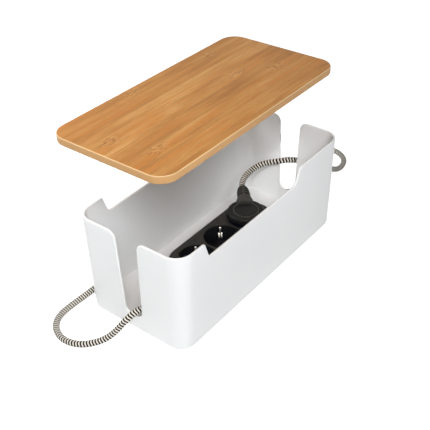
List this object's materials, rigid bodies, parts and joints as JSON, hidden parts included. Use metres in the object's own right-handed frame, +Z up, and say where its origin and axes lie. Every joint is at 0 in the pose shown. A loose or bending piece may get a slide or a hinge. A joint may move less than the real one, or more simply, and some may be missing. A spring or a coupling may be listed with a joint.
{
  "type": "cable management box",
  "caption": "White cable box with cord slots in both ends, a raised bamboo lid, and a socket strip with a plugged-in braided lead inside.",
  "frame": {"origin": "on the table under the middle of the tray", "axes": "+X along the tray towards the end where the plugged-in lead leaves, +Y towards the back long wall, +Z up"},
  "size_m": [0.5067, 0.2458, 0.2115],
  "materials": {
    "white_plastic": "satin white moulded plastic",
    "rubber": "dark rubber",
    "bamboo": "satin bamboo board",
    "black_plastic": "black moulded plastic",
    "blue_black_plastic": "blue-black moulded plastic",
    "steel": "bright zinc-plated steel",
    "nickel": "nickel-plated brass",
    "brass": "stamped brass",
    "shutter_plastic": "dark acetal",
    "braid": "black and off-white textile braid",
    "tie_fabric": "black hook-and-loop",
    "soft_vinyl": "black soft vinyl"
  },
  "bodies": {
    "box": {"box_body": "white_plastic", "box_feet": "rubber", "strip_base": "black_plastic", "strip_cover": "black_plastic", "strip_screws": "steel", "lead_clamp": "shutter_plastic", "clamp_screws": "steel", "strip_boot": "soft_vinyl", "live_bar": "brass", "neutral_bar": "brass", "earth_bar": "nickel", "socket_insert_1": "black_plastic", "socket_insert_2": "black_plastic", "socket_insert_3": "black_plastic", "shutter_3": "shutter_plastic", "shutter_springs": "steel", "strip_lead": "braid", "strip_coil": "braid", "strip_coil_tie": "tie_fabric", "strip_lead_tail": "braid", "mains_plug_body": "black_plastic", "mains_plug_pins": "nickel", "mains_plug_earth": "nickel", "mains_plug_boot": "soft_vinyl", "appliance_lead": "braid", "appliance_coil": "braid", "appliance_coil_tie": "tie_fabric", "appliance_lead_tail": "braid", "connector_body": "black_plastic", "connector_contacts": "brass", "connector_boot": "soft_vinyl"},
    "lid": {"lid_board": "bamboo", "lid_batten_front": "bamboo", "lid_batten_back": "bamboo", "batten_screws": "steel"},
    "angled_plug": {"plug_body": "blue_black_plastic", "plug_cover": "black_plastic", "plug_pins": "nickel", "plug_earth": "nickel", "plug_boot": "soft_vinyl"},
    "shutter_a": {"shutter_1": "shutter_plastic"},
    "shutter_b": {"shutter_2": "shutter_plastic"}
  },
  "joints": [
    {"name": "lid_lift", "type": "slide", "parent": "box", "child": "lid", "axis": [0, 0.2104, 0.9776], "range_m": [-0.0808, 0.04]},
    {"name": "plug_pull", "type": "slide", "parent": "box", "child": "angled_plug", "axis": [0, 0, 1], "range_m": [0, 0.038]},
    {"name": "shutter_a_turn", "type": "hinge", "parent": "box", "child": "shutter_a", "pos_m": [-0.0524, -0.011, 0.0225], "axis": [0, 0, 1], "range_deg": [0, 40], "stiffness_Nm_per_rad": 0.004, "springref_deg": -20.05},
    {"name": "shutter_b_turn", "type": "hinge", "parent": "box", "child": "shutter_b", "pos_m": [-0.0064, -0.011, 0.0225], "axis": [0, 0, 1], "range_deg": [0, 40], "stiffness_Nm_per_rad": 0.004, "springref_deg": -20.05}
  ]
}
